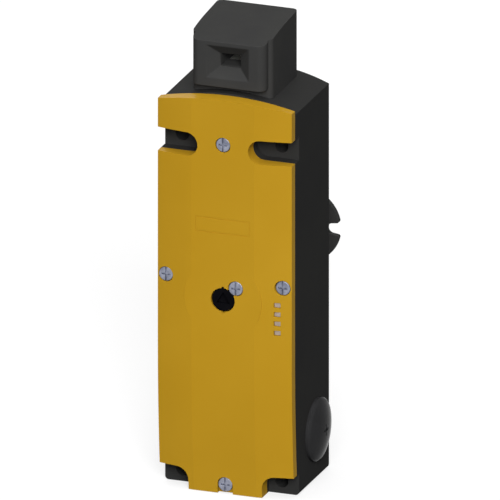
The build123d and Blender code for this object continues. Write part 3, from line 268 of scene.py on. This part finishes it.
# Each visible shell is a copy of its CAD node with its facets merged and its edges broken.
# Lengths are in metres and angles in degrees.
shellRules = dict(mergeWithin=2e-6, flatWithin=0.6, smoothBelow=30, onPlane=0.00004)

# width and segments: the broken edge, on edges sharper than the angle. usual: the share of the
# width that most edges get. The bevel's overlap clamp narrows a whole piece by its tightest edge:
# measured, the housing gets 0.036 mm, the cover 0.013, the head body 0.01 (its top sides 0.04),
# the screws 0.012 to 0.015 and the plugs 0.18, and the other pieces get about their width.
# Some pieces have more settings:
# folds: the shallow creases at X = plus and minus the first value, in front of the plane Y = second
# flush: the plane Y where two pieces meet level above a height, so their edges there stay unbroken
# topSide: the edges along Y at X = plus and minus the first value, above a height, get all of it
# fineWithin: edges this near the middle, seen along X, get only fineShare of it
edgeBreaks = {
    "housing": dict(width=0.00035, segments=2, angle=25),
    "cover": dict(width=0.0003, segments=2, angle=25, folds=(0.0126, -0.03)),
    "head_body": dict(
        width=0.0014, segments=4, angle=25, usual=0.25,
        flush=(-0.0335, 0.1075), topSide=(0.0161, 0.105)),
    "head_nose": dict(width=0.0003, segments=2, angle=25, flush=(-0.0335, 0.1075)),
    "cam_wheel": dict(width=0.00025, segments=2, angle=30),
    "entry_plug_right": dict(
        width=0.0006, segments=4, angle=12, fineWithin=0.01, fineShare=0.2),
    "entry_plug_left": dict(
        width=0.0006, segments=4, angle=12, fineWithin=0.01, fineShare=0.2),
    "escape_knob": dict(width=0.00025, segments=2, angle=30),
    "cover_screws": dict(width=0.0001, segments=1, angle=35),
    "release_securing_screw": dict(width=0.0001, segments=1, angle=35),
    "indicator_windows": dict(width=0.0004, segments=3, angle=30),
    "release_rotor": dict(width=0.00015, segments=2, angle=30),
    "release_shaft": dict(width=0.0002, segments=2, angle=30),
}


def onSides(edge, side):
    return all(abs(abs(v.co.x) - side) < shellRules["onPlane"] for v in edge.verts)


def keptCrisp(edge, settings):
    # the crown's folds, whose angle is below the smoothing limit
    if "folds" not in settings:
        return False
    side, plane = settings["folds"]
    return onSides(edge, side) and all(v.co.y < plane for v in edge.verts)


def breakShare(edge, settings, middle):
    # how much of the full width an edge is broken by
    if edge.calc_face_angle(0.0) < math.radians(settings["angle"]):
        return 0.0
    if "flush" in settings:
        plane, height = settings["flush"]
        level = all(abs(v.co.y - plane) < shellRules["onPlane"] for v in edge.verts)
        if level and all(v.co.z > height for v in edge.verts):
            return 0.0
    if "topSide" in settings:
        side, height = settings["topSide"]
        along = (edge.verts[1].co - edge.verts[0].co).normalized()
        lengthwise = abs(along.y) > math.cos(math.radians(45))
        if lengthwise and onSides(edge, side) and all(v.co.z > height for v in edge.verts):
            return 1.0
    if "fineWithin" in settings:
        if (edge.verts[0].co - middle).yz.length < settings["fineWithin"]:
            return settings["fineShare"]
    return settings.get("usual", 1.0)


def brokenEdges(nodeName, settings):
    piece = frame["nodes"][nodeName].copy()
    piece.data = piece.data.copy()
    piece.name = "dressed_" + nodeName
    piece.parent = None
    for key in ("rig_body", "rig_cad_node"):  # these marks belong to the CAD node alone
        if key in piece:
            del piece[key]
    bpy.context.scene.collection.objects.link(piece)
    mesh = bmesh.new()
    mesh.from_mesh(piece.data)
    bmesh.ops.remove_doubles(mesh, verts=mesh.verts, dist=shellRules["mergeWithin"])
    bmesh.ops.dissolve_limit(
        mesh, angle_limit=math.radians(shellRules["flatWithin"]),
        verts=mesh.verts, edges=mesh.edges,
    )
    for face in mesh.faces:
        face.smooth = True
    weights = mesh.edges.layers.float.new("bevel_weight_edge")
    low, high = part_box(nodeName)
    middle = (Vector(low) + Vector(high)) / 2
    smoothBelow = math.radians(shellRules["smoothBelow"])
    for edge in mesh.edges:
        edge.smooth = edge.calc_face_angle(0.0) < smoothBelow and not keptCrisp(edge, settings)
        edge[weights] = breakShare(edge, settings, middle)
    mesh.to_mesh(piece.data)
    mesh.free()
    bevel = piece.modifiers.new("edges", "BEVEL")
    bevel.width = settings["width"]
    bevel.segments = settings["segments"]
    bevel.limit_method = "WEIGHT"
    bevel.use_clamp_overlap = True
    bevel.harden_normals = False
    evaluated = piece.evaluated_get(bpy.context.evaluated_depsgraph_get())
    finished = bpy.data.meshes.new_from_object(evaluated)
    piece.modifiers.clear()
    piece.data = finished
    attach(piece, bodyOf[nodeName])
    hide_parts(nodeName)
    return piece


dressed = {name: brokenEdges(name, settings) for name, settings in edgeBreaks.items()}
print("dressed pieces:", len(dressed))

# The key rotor's mouth: a dark sleeve with a triangular key socket, up to just under the cover.
# It is known to reach 0.29 mm into the side of the securing screw's head, over 1.7 mm of depth.
rotorMouth = dict(
    radius=0.0046, sink=0.0004, edge=0.0003, clearance=0.00002,
    socket=0.0031, socketCorners=3, socketTurn=90, steps=48,
)


def makeRotorMouth():
    low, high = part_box("release_rotor")
    centre = Vector(((low[0] + high[0]) / 2, 0, (low[2] + high[2]) / 2))
    front = cadBox[0][1] + rotorMouth["sink"]
    behind = low[1] - rotorMouth["clearance"]
    mesh = bmesh.new()

    def ring(radius, y, corners=0):
        # a circle, or a polygon with as many points as the circle has
        points = []
        for n in range(rotorMouth["steps"]):
            angle = math.tau * n / rotorMouth["steps"]
            reach = radius
            if corners:
                turned = (angle - math.radians(rotorMouth["socketTurn"])) % (math.tau / corners)
                reach *= math.cos(math.pi / corners) / math.cos(turned - math.pi / corners)
            points.append(mesh.verts.new((
                centre.x + reach * math.cos(angle), y, centre.z + reach * math.sin(angle))))
        return points

    radius, edge, socket = rotorMouth["radius"], rotorMouth["edge"], rotorMouth["socket"]
    corners = rotorMouth["socketCorners"]
    rings = [
        ring(radius, behind),
        ring(radius, front + edge),
        ring(radius - edge, front),
        ring(socket + edge / 2, front, corners),
        ring(socket, front + edge, corners),
        ring(socket, behind - edge, corners),
    ]
    for near, far in zip(rings, rings[1:]):
        for n in range(rotorMouth["steps"]):
            m = (n + 1) % rotorMouth["steps"]
            mesh.faces.new((near[n], near[m], far[m], far[n]))
    mesh.faces.new(rings[0])
    mesh.faces.new(rings[-1])
    bmesh.ops.recalc_face_normals(mesh, faces=mesh.faces)
    data = bpy.data.meshes.new("rotorMouth")
    mesh.to_mesh(data)
    mesh.free()
    data.materials.append(finishOf["socket_black"])
    mouth = bpy.data.objects.new("rotorMouth", data)
    bpy.context.scene.collection.objects.link(mouth)
    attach(mouth, bodyOf["release_rotor"])


makeRotorMouth()
print("key rotor's mouth done")

# The coil's outer layer of wire, wound in a helix over a ring that stands for the layers below.
# The real wire is about 0.15 mm thick; it is drawn coarser so that its turns show.
coilWire = dict(wireSize=0.0005, pointsPerTurn=40, roundness=8, ringSteps=64)


def coilRing(low, high, innerRadius, outerRadius):
    mesh = bmesh.new()
    section = [
        (innerRadius, low[2]), (outerRadius, low[2]),
        (outerRadius, high[2]), (innerRadius, high[2]),
    ]
    loops = []
    for radius, z in section:
        loop = []
        for n in range(coilWire["ringSteps"]):
            angle = math.tau * n / coilWire["ringSteps"]
            loop.append(mesh.verts.new((
                (low[0] + high[0]) / 2 + radius * math.cos(angle),
                (low[1] + high[1]) / 2 + radius * math.sin(angle), z)))
        loops.append(loop)
    for near, far in zip(loops, loops[1:] + loops[:1]):
        for n in range(coilWire["ringSteps"]):
            m = (n + 1) % coilWire["ringSteps"]
            mesh.faces.new((near[n], near[m], far[m], far[n]))
    bmesh.ops.recalc_face_normals(mesh, faces=mesh.faces)
    data = bpy.data.meshes.new("dressed_coil_winding")
    mesh.to_mesh(data)
    mesh.free()
    return data


def woundWireTree():
    tree = bpy.data.node_groups.new("WoundWire", "GeometryNodeTree")
    inputKinds = {
        "Geometry": "NodeSocketGeometry",
        "Wire Size": "NodeSocketFloat",
        "Layer Radius": "NodeSocketFloat",
        "Layer Height": "NodeSocketFloat",
        "Points Per Turn": "NodeSocketInt",
        "Roundness": "NodeSocketInt",
        "Foot": "NodeSocketVector",
        "Finish": "NodeSocketMaterial",
    }
    for label, kind in inputKinds.items():
        tree.interface.new_socket(label, in_out="INPUT", socket_type=kind)
    tree.interface.new_socket("Geometry", in_out="OUTPUT", socket_type="NodeSocketGeometry")
    given = addNode(tree, "NodeGroupInput").outputs
    turns = addNode(
        tree, "ShaderNodeMath",
        links={0: given["Layer Height"], 1: given["Wire Size"]}, operation="DIVIDE",
    )
    helix = addNode(
        tree, "GeometryNodeCurveSpiral",
        links={
            "Resolution": given["Points Per Turn"],
            "Rotations": turns.outputs["Value"],
            "Start Radius": given["Layer Radius"],
            "End Radius": given["Layer Radius"],
            "Height": given["Layer Height"],
        },
    )
    halfWire = addNode(
        tree, "ShaderNodeMath", {1: 0.5}, {0: given["Wire Size"]}, operation="MULTIPLY"
    )
    section = addNode(
        tree, "GeometryNodeCurvePrimitiveCircle",
        links={"Resolution": given["Roundness"], "Radius": halfWire.outputs["Value"]},
    )
    wire = addNode(
        tree, "GeometryNodeCurveToMesh", {"Fill Caps": True},
        {"Curve": helix.outputs["Curve"], "Profile Curve": section.outputs["Curve"]},
    )
    placed = addNode(
        tree, "GeometryNodeTransform",
        links={"Geometry": wire.outputs["Mesh"], "Translation": given["Foot"]},
    )
    smooth = addNode(
        tree, "GeometryNodeSetShadeSmooth", links={"Geometry": placed.outputs["Geometry"]}
    )
    joined = addNode(tree, "GeometryNodeJoinGeometry", links={"Geometry": given["Geometry"]})
    tree.links.new(smooth.outputs["Geometry"], joined.inputs["Geometry"])
    realized = addNode(
        tree, "GeometryNodeRealizeInstances", links={"Geometry": joined.outputs["Geometry"]}
    )
    finished = addNode(
        tree, "GeometryNodeSetMaterial",
        links={"Geometry": realized.outputs["Geometry"], "Material": given["Finish"]},
    )
    addNode(tree, "NodeGroupOutput", links={"Geometry": finished.outputs["Geometry"]})
    return tree


def woundCoil():
    low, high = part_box("coil_winding")
    middle = Vector(((low[0] + high[0]) / 2, (low[1] + high[1]) / 2, low[2]))
    outerRadius = (high[0] - low[0]) / 2
    reaches = [(v.co - middle).xy.length for v in frame["nodes"]["coil_winding"].data.vertices]
    wireSize = coilWire["wireSize"]
    layerRadius = outerRadius - wireSize / 2
    ring = coilRing(low, high, min(reaches), layerRadius)
    coil = bpy.data.objects.new("dressed_coil_winding", ring)
    bpy.context.scene.collection.objects.link(coil)
    tree = woundWireTree()
    winder = coil.modifiers.new("winding", "NODES")
    winder.node_group = tree
    sizes = {
        "Wire Size": wireSize,
        "Layer Radius": layerRadius,
        "Layer Height": high[2] - low[2] - wireSize,
        "Points Per Turn": coilWire["pointsPerTurn"],
        "Roundness": coilWire["roundness"],
        "Foot": (middle.x, middle.y, low[2] + wireSize / 2),
        "Finish": finishOf["copper"],
    }
    for socket in tree.interface.items_tree:
        if socket.in_out == "INPUT" and socket.name in sizes:
            winder[socket.identifier] = sizes[socket.name]
    evaluated = coil.evaluated_get(bpy.context.evaluated_depsgraph_get())
    finished = bpy.data.meshes.new_from_object(evaluated)
    coil.modifiers.clear()
    finished.materials.clear()  # the wire brings an empty slot
    finished.materials.append(finishOf["copper"])
    coil.data = finished
    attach(coil, bodyOf["coil_winding"])
    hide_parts("coil_winding")
    return coil


coil = woundCoil()
print("coil wound:", len(coil.data.polygons), "faces")

# Stage: white floor under the foot, soft lamps and camera
stageLook = dict(
    floorSize=8.0, floorDrop=0.0002,
    floorHex="#9c9c9c", floorGlow=0.7,  # what is seen of the floor: paper and the light behind it
    bounceHex="#303030",  # what the floor throws back on the object
    worldHex="#ffffff", fillLight=0.05,
)
footZ = cadBox[0][2]


def seenDirectly(tree):
    # 1 for the rays of the camera, of reflections and of what is seen through glass
    path = addNode(tree, "ShaderNodeLightPath")
    seen = path.outputs["Is Camera Ray"]
    for kind in ("Is Glossy Ray", "Is Transmission Ray"):
        seen = addNode(
            tree, "ShaderNodeMath", links={0: seen, 1: path.outputs[kind]}, operation="MAXIMUM"
        ).outputs["Value"]
    return seen


def makeFloor():
    half = stageLook["floorSize"] / 2
    z = footZ - stageLook["floorDrop"]
    data = bpy.data.meshes.new("floor")
    corners = [(-half, -half, z), (half, -half, z), (half, half, z), (-half, half, z)]
    data.from_pydata(corners, [], [(0, 1, 2, 3)])
    floor = bpy.data.objects.new("floor", data)
    bpy.context.scene.collection.objects.link(floor)
    # back-lit white paper for the camera and reflections, dim where it would light the object
    material, tree, coords = newMaterial("PaperWhiteBacklit")
    seen = seenDirectly(tree)
    colour = addNode(
        tree, "ShaderNodeMix",
        {"A": linearColor(stageLook["bounceHex"]), "B": linearColor(stageLook["floorHex"])},
        {"Factor": seen}, data_type="RGBA",
    )
    paper = addNode(tree, "ShaderNodeBsdfDiffuse", links={"Color": colour.outputs["Result"]})
    glowStrength = numberRange(tree, seen, 0.0, stageLook["floorGlow"])
    glow = addNode(tree, "ShaderNodeEmission", links={"Strength": glowStrength})
    both = addNode(
        tree, "ShaderNodeAddShader", links={0: paper.outputs["BSDF"], 1: glow.outputs["Emission"]}
    )
    addNode(tree, "ShaderNodeOutputMaterial", links={"Surface": both.outputs["Shader"]})
    data.materials.append(material)


def makeWorld():
    # white where the camera or a reflection sees it, a faint fill elsewhere
    world = bpy.data.worlds.new("studio")
    bpy.context.scene.world = world
    world.use_nodes = True
    tree = world.node_tree
    tree.nodes.clear()
    strength = numberRange(tree, seenDirectly(tree), stageLook["fillLight"], 1.0)
    back = addNode(
        tree, "ShaderNodeBackground",
        {"Color": linearColor(stageLook["worldHex"])}, {"Strength": strength},
    )
    addNode(tree, "ShaderNodeOutputWorld", links={"Surface": back.outputs["Background"]})


lampSettings = {
    # azimuth, elevation and spread in degrees, strength in watts per square metre
    "frontLamp": dict(azimuth=24, elevation=28, spread=28, strength=3.4),
    "topLamp": dict(azimuth=-10, elevation=78, spread=50, strength=1.5),
    "backLamp": dict(azimuth=205, elevation=8, spread=40, strength=1.2),
}


def directionFrom(azimuth, elevation):
    a, e = math.radians(azimuth), math.radians(elevation)
    return Vector((math.sin(a) * math.cos(e), -math.cos(a) * math.cos(e), math.sin(e)))


def pointAt(obj, place, target):
    obj.location = place
    obj.rotation_euler = (target - place).to_track_quat("-Z", "Y").to_euler()


# The photograph is a parallel view from 20 degrees to the right and 20 above
cameraLook = dict(
    azimuth=20, elevation=20, viewWidth=0.1894, distance=1.0, clip=(0.1, 20.0),
    aimY=-0.01337, aimHeight=0.0888,
)
target = Vector((0, cameraLook["aimY"], footZ + cameraLook["aimHeight"]))
for title, look in lampSettings.items():
    lamp = bpy.data.lights.new(title, "SUN")
    lamp.angle = math.radians(look["spread"])
    lamp.energy = look["strength"]
    lampObject = bpy.data.objects.new(title, lamp)
    bpy.context.scene.collection.objects.link(lampObject)
    pointAt(lampObject, target + directionFrom(look["azimuth"], look["elevation"]), target)

camera = bpy.data.cameras.new("camera")
camera.type = "ORTHO"
camera.ortho_scale = cameraLook["viewWidth"]
camera.clip_start, camera.clip_end = cameraLook["clip"]
cameraObject = bpy.data.objects.new("camera", camera)
bpy.context.scene.collection.objects.link(cameraObject)
viewFrom = directionFrom(cameraLook["azimuth"], cameraLook["elevation"])
pointAt(cameraObject, target + viewFrom * cameraLook["distance"], target)
bpy.context.scene.camera = cameraObject
makeFloor()
makeWorld()
bpy.context.scene.view_settings.view_transform = "Standard"
print("stage done")
